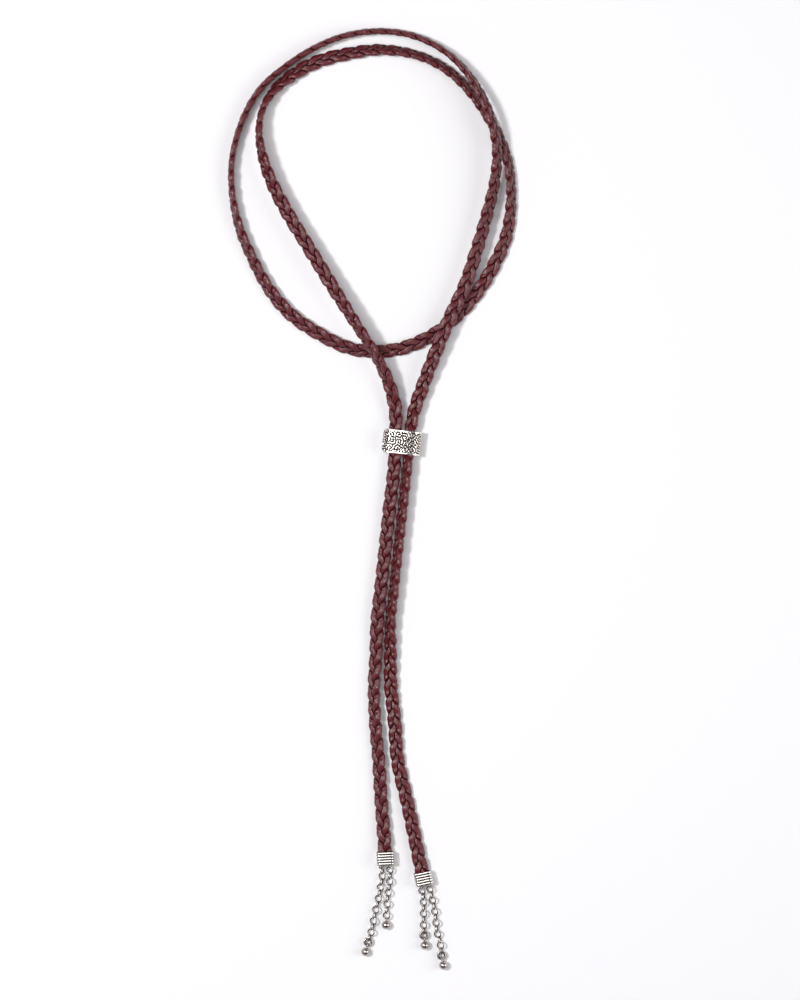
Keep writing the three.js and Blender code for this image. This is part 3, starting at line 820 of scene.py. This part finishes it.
def slide_section():
    """The crowned outline, its outward directions and the way round it from the top."""
    outline = rounded_rectangle(slide_width, slide_height, SLIDE_CORNER, SLIDE_STEPS)
    x, z = outline[:, 0], outline[:, 1]
    upper = smooth_step(0, slide_height / 2, z)
    z = z - upper * SLIDE_CROWN * (x / (slide_width / 2)) ** 2 + slide_height / 2
    section = np.stack([x, z], axis=1)
    ahead = np.roll(section, -1, axis=0)
    behind = np.roll(section, 1, axis=0)
    edge = unit(ahead - behind)
    normal = np.stack([edge[:, 1], -edge[:, 0]], axis=1)
    girth = np.concatenate([[0], np.cumsum(np.hypot(*(ahead - section).T))[:-1]])
    top = int(np.argmax(z - 1e3 * x**2))  # the highest point nearest the middle
    return section, normal, girth[top] - girth


def slide_rings():
    """Where the rings lie along the slide: close together on the rims' round edges."""
    end = SLIDE_LENGTH / 2
    field_end = end - RIM_WIDTH
    near = -end + RIM_ROUND * (1 - np.cos(np.linspace(0, math.pi / 2, RIM_RINGS)))
    rim_middle = field_end + RIM_MIDDLE
    last_ring = field_end + FIELD_OVERLAP
    field = np.linspace(-last_ring, last_ring, FIELD_RINGS)
    return np.concatenate([near, [-rim_middle], field, [rim_middle], -near[::-1]])


def make_slide():
    section, normal, round_it = slide_section()
    forward = slide_rings()
    end = SLIDE_LENGTH / 2
    from_end = end - np.abs(forward)
    on_edge = np.clip(1 - from_end / RIM_ROUND, 0, 1)
    rounding = RIM_ROUND * (1 - np.sqrt(1 - on_edge**2))
    in_field = smooth_step(0, FIELD_EDGE, from_end - RIM_WIDTH)
    on_front = smooth_step(BACK_HEIGHT, FRONT_HEIGHT, section[:, 1])
    g, f = np.meshgrid(round_it, forward)
    relief = 1 - in_field[:, None] * on_front * (1 - scroll_relief(g, f))
    inset = rounding[:, None] + RELIEF_DEPTH * (1 - relief)
    across = section[:, 0] - normal[:, 0] * inset
    high = np.maximum(section[:, 1] - normal[:, 1] * inset, 0)
    outer = placed(slide_frame, across, f, high)
    bore = rounded_rectangle(bore_width, BORE_HEIGHT, BORE_CORNER, SLIDE_STEPS)
    inner_end = end - MOUTH_DEPTH
    mouths = ((end, MOUTH_FLARE), (inner_end, 1.0), (-inner_end, 1.0), (-end, MOUTH_FLARE))
    inner = [
        placed(slide_frame, bore[:, 0] * grow, at, slide_height / 2 + bore[:, 1] * grow)
        for at, grow in mouths
    ]
    rings = np.concatenate([outer, np.stack(inner)])
    heights = np.concatenate([relief, np.full((len(inner), len(bore)), BORE_SHADE)])
    faces = ring_faces(len(rings), len(bore), loop=True)
    return mesh_piece("slide_casting", rings.reshape(-1, 3), faces, relief=heights)


silver_pieces = [(make_slide(), "slide")]
print("points of the slide:", len(silver_pieces[0][0].data.vertices))

# %% [markdown]
# ## Ribbed tips
# A tip is a cup over the plait's end, with round ribs like a tight coil and two wire eyes
# soldered under it. The rings of its skin follow the ribs, close over a low dome, and go on
# inside as the socket. The two tips stand at the first and the last place of the plait.

# %% Tips
TIP_LENGTH = 0.0055
TIP_FLOOR = 0.0011
TIP_CORNER = 0.0015
TIP_STEPS = (8, 10, 20)
TIP_RIBS = 5
RIB_DEPTH = 0.0003
RIB_RINGS = 10
RIB_SHADE = 0.85
GROOVE_SHADE = 0.10
DOME = ((0.9, 0.00012), (0.55, 0.0002), (0.1, 0.0002))  # size and height of its rings
DOME_SHADE = 0.75
SOCKET_SHADE = 0.2
SOCKET_MOUTH_SHADE = 0.4
LINK_OUTER = 0.0034
LINK_WIRE = 0.00055
LINK_BITE = 0.0001
LINK_TILT = 22
EYE_OUTER = 0.0024
EYE_SPACING = 0.0035

tip_width = PLAIT_WIDTH + 2 * (TIP_CLEARANCE + TIP_WALL)
tip_thickness = PLAIT_THICKNESS + 2 * (TIP_CLEARANCE + TIP_WALL)
tip_bottom = TIP_CLEARANCE + TIP_FLOOR
tip_middle = tip_thickness / 2 + FLOOR_GAP
link_radius = (LINK_OUTER - LINK_WIRE) / 2
chain_height = link_radius * math.cos(math.radians(LINK_TILT)) + LINK_WIRE / 2 + FLOOR_GAP

tip_frames = {
    "left": frame_at((*plait_places[0, :2], tip_middle), -plait_along[0]),
    "right": frame_at((*plait_places[-1, :2], tip_middle), plait_along[-1]),
}


def eye_frame(side, place):
    """The place of a tip's eye, at the left (-1) or the right (1) of its end."""
    tip = tip_frames[side]
    forward = tip_bottom + EYE_OUTER / 2 - LINK_WIRE / 2
    high = chain_height - tip["origin"][2]
    return frame_at(placed(tip, -place * EYE_SPACING / 2, forward, high), tip["along"])


def tip_ring(frame, forward, inset=0.0, shrink=1.0):
    """One ring of a tip's skin, set in from its outside and drawn together."""
    size = (tip_width - 2 * inset, tip_thickness - 2 * inset, TIP_CORNER - inset)
    outline = rounded_rectangle(*size, TIP_STEPS) * shrink
    return placed(frame, outline[:, 0], forward, outline[:, 1])


def tip_cup(frame):
    """A tip's cup: its ribs, the dome at its closed end and the socket inside."""
    open_end = tip_bottom - TIP_LENGTH
    skin = []  # how many ribs on from the open end a ring lies, and how deep in a groove
    for rib in range(TIP_RIBS):
        for at in np.linspace(-1, 1, RIB_RINGS + 1)[:-1]:
            skin.append((rib + (at + 1) / 2, 1 - math.sqrt(1 - at**2)))
    skin.append((TIP_RIBS, 1))
    rings, shades = [], []
    for ribs_on, low in skin:
        forward = open_end + TIP_LENGTH * ribs_on / TIP_RIBS
        rings.append(tip_ring(frame, forward, inset=RIB_DEPTH * low))
        shades.append(RIB_SHADE + (GROOVE_SHADE - RIB_SHADE) * low)
    for shrink, dome in DOME:
        rings.append(tip_ring(frame, tip_bottom + dome, shrink=shrink))
        shades.append(DOME_SHADE)
    outer_rings = len(rings)
    rings.append(tip_ring(frame, TIP_CLEARANCE, inset=TIP_WALL, shrink=DOME[-1][0]))
    rings.append(tip_ring(frame, TIP_CLEARANCE, inset=TIP_WALL))
    rings.append(tip_ring(frame, open_end, inset=TIP_WALL))
    shades += [SOCKET_SHADE, SOCKET_SHADE, SOCKET_MOUTH_SHADE]
    sides = len(rings[0])
    dome_top = range((outer_rings - 1) * sides, outer_rings * sides)
    socket_floor = range(outer_rings * sides, (outer_rings + 1) * sides)
    skin_faces = ring_faces(len(rings), sides, loop=True)
    faces = [face for face in skin_faces if face[0] not in dome_top]
    faces += [tuple(reversed(dome_top)), tuple(socket_floor)]
    return np.concatenate(rings), faces, np.repeat(shades, sides)


def make_tip(side, upright_eyes):
    shapes = [tip_cup(tip_frames[side])]
    for place, upright in zip((-1, 1), upright_eyes):
        shapes.append(wire_ring(eye_frame(side, place), EYE_OUTER, LINK_WIRE, 90 if upright else 0))
    return silver_piece(f"ribbed_tip_{side}", shapes)


silver_pieces.append((make_tip("left", (False, True)), "tip_left"))
silver_pieces.append((make_tip("right", (True, True)), "tip_right"))
print("tips:", round(tip_width, 4), "by", round(tip_thickness, 4), "m")

# %% [markdown]
# ## Chains, jump rings and ball drops
# Each chain hangs from one eye. Its list of chosen points gives the line that it lies in.
# Links could be copied along a curve by a modifier, but every other link stands on edge, and
# the last one holds a jump ring, or the ball itself on the short chain on the left. So each
# link is placed by its own frame on the line.

# %% Chains
RING_OUTER = 0.0040
RING_WIRE = 0.0010
BALL_DIAMETER = 0.0037
BALL_EYE_WIRE = 0.0005
BALL_EYE_SINK = BALL_EYE_WIRE / 3  # depth that a ball's eye is sunk into it
CHAIN_CLEARANCE = 0.0003
AIM_STEP = 0.0003  # how far before and behind a link its direction is read

eye_radius = (EYE_OUTER - LINK_WIRE) / 2
link_pitch = LINK_OUTER - 2 * LINK_WIRE + LINK_BITE

# Name, tip, the eye's place, whether that eye stands on edge, links, whether there is a jump
# ring, and the points of the line.
CHAINS = [
    ("left_long", "left", -1, False, 13, True, [
        (-0.0082, -0.1826), (-0.0099, -0.1922), (-0.0111, -0.1972),
        (-0.0126, -0.2048), (-0.0141, -0.2098), (-0.0156, -0.2155),
    ]),
    ("left_short", "left", 1, True, 9, False, [
        (-0.0049, -0.1835), (-0.0054, -0.1880), (-0.0058, -0.1906),
        (-0.0063, -0.1985), (-0.0065, -0.2045),
    ]),
    ("right_short", "right", -1, True, 8, True, [
        (0.0091, -0.1909), (0.0092, -0.1970), (0.0093, -0.2048),
        (0.0097, -0.2100), (0.0102, -0.2145),
    ]),
    ("right_long", "right", 1, True, 12, True, [
        (0.0127, -0.1910), (0.0137, -0.1952), (0.0144, -0.2006), (0.0149, -0.2053),
        (0.0162, -0.2099), (0.0170, -0.2169), (0.0182, -0.2215),
    ]),
]


def make_chain(name, tip, place, upright_eye, links, has_ring, line):
    eye = eye_frame(tip, place)["origin"]
    samples = fine_samples([(x, y, chain_height, 0) for x, y in [eye[:2], *line]])
    lengths = lengths_to(samples)

    def frame_on(length):
        ends = at_lengths(samples, lengths, length + AIM_STEP * np.array([-1, 0, 1]))
        return frame_at(ends[1, :3], ends[2, :2] - ends[0, :2])

    first = eye_radius + link_radius - LINK_WIRE - CHAIN_CLEARANCE
    wires = []
    for i in range(links):
        flat = (i % 2 == 0) == upright_eye
        turn = LINK_TILT if flat else LINK_TILT + 90
        wires.append(wire_ring(frame_on(first + i * link_pitch), LINK_OUTER, LINK_WIRE, turn))
    pieces = [(silver_piece(f"links_{name}", wires), f"chain_{name}")]
    last = first + (links - 1) * link_pitch
    held = last + link_radius - LINK_WIRE / 2
    held_wire = LINK_WIRE
    if has_ring:
        hole = RING_OUTER / 2 - RING_WIRE
        ring_middle = last + link_radius + hole - LINK_WIRE / 2 - CHAIN_CLEARANCE
        ring = wire_ring(frame_on(ring_middle), RING_OUTER, RING_WIRE, 0, around=48, sides=18)
        pieces.append((silver_piece(f"thick_ring_{name}", [ring]), f"jump_ring_{name}"))
        held = ring_middle + hole
        held_wire = RING_WIRE
    ball_eye_radius = held_wire / 2 + CHAIN_CLEARANCE + BALL_EYE_WIRE / 2
    eye_middle = held - CHAIN_CLEARANCE - BALL_EYE_WIRE / 2 + ball_eye_radius
    ball_middle = eye_middle + ball_eye_radius + BALL_DIAMETER / 2 - BALL_EYE_SINK
    centre = frame_on(ball_middle)["origin"]
    centre[2] = BALL_DIAMETER / 2 + FLOOR_GAP
    ball_eye_outer = 2 * ball_eye_radius + BALL_EYE_WIRE
    ball_eye = wire_ring(frame_on(eye_middle), ball_eye_outer, BALL_EYE_WIRE, 90)
    ball = silver_piece(f"ball_{name}", [ball_shape(centre, BALL_DIAMETER), ball_eye])
    pieces.append((ball, f"ball_drop_{name}"))
    return pieces


for chain in CHAINS:
    silver_pieces += make_chain(*chain)
print("silver pieces:", len(silver_pieces))

# %% [markdown]
# ## Antique silver
# Antique silver is blackened all over and then polished, so that the tarnish stays in the
# hollows. A ramp over the relief of each point gives the dark, the worn and the bright
# metal. One material serves the slide, the tips, the chains and the drops.

# %% Silver material
SILVER_ROUGHNESS = 0.2
TARNISH = (0.022, 0.018, 0.016, 1)
WORN_SILVER = (0.25, 0.215, 0.19, 1)
BRIGHT_SILVER = (0.93, 0.89, 0.83, 1)
TARNISH_UP_TO = 0.1
WORN_AT = 0.45
BRIGHT_FROM = 0.85

silver = bpy.data.materials.new("antique_silver")
silver.use_nodes = True
silver_nodes, silver_links = silver.node_tree.nodes, silver.node_tree.links
silver_shader = silver_nodes["Principled BSDF"]
silver_shader.inputs["Metallic"].default_value = 1
silver_shader.inputs["Roughness"].default_value = SILVER_ROUGHNESS
relief_height = silver_nodes.new("ShaderNodeAttribute")
relief_height.attribute_name = "relief"
wear = silver_nodes.new("ShaderNodeValToRGB")
dark, bright = wear.color_ramp.elements
dark.position, dark.color = TARNISH_UP_TO, TARNISH
bright.position, bright.color = BRIGHT_FROM, BRIGHT_SILVER
wear.color_ramp.elements.new(WORN_AT).color = WORN_SILVER
silver_links.new(relief_height.outputs["Fac"], wear.inputs["Fac"])
silver_links.new(wear.outputs["Color"], silver_shader.inputs["Base Color"])

for piece, node in silver_pieces:
    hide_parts(node)
    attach(piece, "slide" if node == "slide" else "tie")
    piece.data.materials.append(silver)
print("dressed in silver:", len(silver_pieces))

# %% [markdown]
# ## The table
# One wide, plain square stands for the pale table, so wide that no view shows its edge. It
# lies a hair under the tie, which keeps the two surfaces from flickering into each other.
# It is scenery and not part of the tie.

# %% Floor
FLOOR_COLOUR = (0.93, 0.93, 0.945, 1)
FLOOR_ROUGHNESS = 0.75
FLOOR_HALF = 3
FLOOR_DROP = 0.00005

floor_corners = ((-1, -1), (1, -1), (1, 1), (-1, 1))
floor_points = [(FLOOR_HALF * x, FLOOR_HALF * y, 0) for x, y in floor_corners]
floor = mesh_piece("floor", floor_points, [(0, 1, 2, 3)])
floor.location.z = -FLOOR_DROP
floor_look = bpy.data.materials.new("pale_table")
floor_look.use_nodes = True
floor_shader = floor_look.node_tree.nodes["Principled BSDF"]
floor_shader.inputs["Base Color"].default_value = FLOOR_COLOUR
floor_shader.inputs["Roughness"].default_value = FLOOR_ROUGHNESS
floor.data.materials.append(floor_look)
print("table:", 2 * FLOOR_HALF, "m wide")
